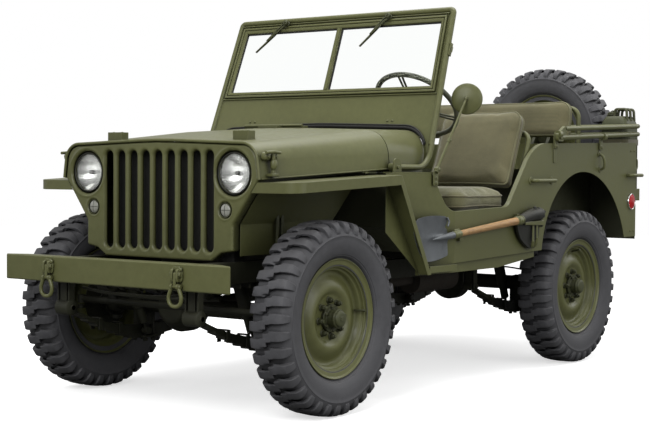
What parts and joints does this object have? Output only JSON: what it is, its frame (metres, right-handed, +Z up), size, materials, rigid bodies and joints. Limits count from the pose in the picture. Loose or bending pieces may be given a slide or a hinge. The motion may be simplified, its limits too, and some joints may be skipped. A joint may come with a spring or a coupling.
{
  "type": "army 4x4 car",
  "caption": "Open unarmed army car with driven axles, flat hood over a slotted grille, folding windscreen, folded top bows, seats, spare wheel and strapped tools.",
  "frame": {"origin": "on the ground below the middle of the car's outer box", "axes": "+Z up; the car faces -Y; its left side is +X"},
  "size_m": [1.5287, 3.4542, 1.6738],
  "materials": {
    "olive_paint": "satin",
    "dark_paint": "satin",
    "cast_metal": "matte",
    "tyre_rubber": "matte",
    "canvas": "matte",
    "pane": "gloss",
    "lamp_metal": "gloss",
    "tool": "satin"
  },
  "bodies": {
    "chassis": {"axe": "cast_metal", "body_fittings": "olive_paint", "chassis_frame": "olive_paint", "corner_handles": "olive_paint", "cowl": "olive_paint", "driver_levers": "dark_paint", "engine_block": "cast_metal", "exhaust": "cast_metal", "floor_pan": "olive_paint", "front_axle": "cast_metal", "front_bumper": "olive_paint", "front_fenders": "olive_paint", "front_lamps": "lamp_metal", "fuel_can": "olive_paint", "fuel_can_rack": "olive_paint", "gearbox": "cast_metal", "grille": "olive_paint", "instrument_panel": "dark_paint", "leaf_springs": "dark_paint", "left_side_panel": "olive_paint", "mirror": "olive_paint", "propeller_shafts": "dark_paint", "radiator": "dark_paint", "rear_axle": "cast_metal", "rear_bumperettes": "olive_paint", "rear_lamps": "lamp_metal", "rear_panel": "olive_paint", "right_side_panel": "olive_paint", "seat_backs": "canvas", "seat_cushions": "canvas", "seat_frames": "olive_paint", "shovel": "tool", "spare_tyre": "tyre_rubber", "spare_wheel": "olive_paint", "spare_wheel_carrier": "olive_paint", "steering_column": "olive_paint", "tow_pintle": "dark_paint", "tow_shackles": "olive_paint", "wheel_boxes": "olive_paint"},
    "hood": {"hood": "olive_paint"},
    "windscreen": {"windscreen_frame": "olive_paint", "windscreen_glass": "pane"},
    "steering_wheel": {"steering_wheel": "dark_paint"},
    "left_knuckle": {"left_knuckle": "dark_paint"},
    "right_knuckle": {"right_knuckle": "dark_paint"},
    "tie_rod": {"tie_rod": "dark_paint"},
    "top_bows": {"top_bows": "olive_paint"},
    "front_left_wheel": {"front_left_tyre": "tyre_rubber", "front_left_wheel": "olive_paint"},
    "front_right_wheel": {"front_right_tyre": "tyre_rubber", "front_right_wheel": "olive_paint"},
    "rear_left_wheel": {"rear_left_tyre": "tyre_rubber", "rear_left_wheel": "olive_paint"},
    "rear_right_wheel": {"rear_right_tyre": "tyre_rubber", "rear_right_wheel": "olive_paint"}
  },
  "joints": [
    {"name": "hood_hinge", "type": "hinge", "parent": "chassis", "child": "hood", "pos_m": [0, -0.7115, 1.1442], "axis": [1, 0, 0], "range_deg": [-85, 0]},
    {"name": "windscreen_fold", "type": "hinge", "parent": "chassis", "child": "windscreen", "pos_m": [0, -0.7135, 0.966], "axis": [1, 0, 0], "range_deg": [0, 118]},
    {"name": "top_bows_lift", "type": "hinge", "parent": "chassis", "child": "top_bows", "pos_m": [0, 0.5465, 1.113], "axis": [1, 0, 0], "range_deg": [0, 80]},
    {"name": "left_knuckle_steer", "type": "hinge", "parent": "chassis", "child": "left_knuckle", "pos_m": [0.51, -1.1585, 0.38], "axis": [0, 0, 1], "range_deg": [-24, 24]},
    {"name": "right_knuckle_steer", "type": "hinge", "parent": "chassis", "child": "right_knuckle", "pos_m": [-0.51, -1.1585, 0.38], "axis": [0, 0, 1], "range_deg": [-25, 25]},
    {"name": "tie_rod_end", "type": "hinge", "parent": "left_knuckle", "child": "tie_rod", "pos_m": [0.51, -1.3635, 0.402], "axis": [0, 0, 1], "range_deg": [-25, 25]},
    {"name": "steering_wheel_turn", "type": "hinge", "parent": "chassis", "child": "steering_wheel", "pos_m": [0.363, -0.1225, 1.25], "axis": [0, 0.6691, 0.7431], "range_deg": [-313, 313]},
    {"name": "front_left_wheel_roll", "type": "hinge", "parent": "left_knuckle", "child": "front_left_wheel", "pos_m": [0.6225, -1.1585, 0.38], "axis": [1, 0, 0], "continuous": true},
    {"name": "front_right_wheel_roll", "type": "hinge", "parent": "right_knuckle", "child": "front_right_wheel", "pos_m": [-0.6225, -1.1585, 0.38], "axis": [1, 0, 0], "continuous": true},
    {"name": "rear_left_wheel_roll", "type": "hinge", "parent": "chassis", "child": "rear_left_wheel", "pos_m": [0.6225, 0.8735, 0.38], "axis": [1, 0, 0], "continuous": true},
    {"name": "rear_right_wheel_roll", "type": "hinge", "parent": "chassis", "child": "rear_right_wheel", "pos_m": [-0.6225, 0.8735, 0.38], "axis": [1, 0, 0], "continuous": true}
  ],
  "couplings": [
    {"joint": "right_knuckle_steer", "follows": "left_knuckle_steer", "ratio": 1},
    {"joint": "tie_rod_end", "follows": "left_knuckle_steer", "ratio": -1},
    {"joint": "steering_wheel_turn", "follows": "left_knuckle_steer", "ratio": 13}
  ]
}
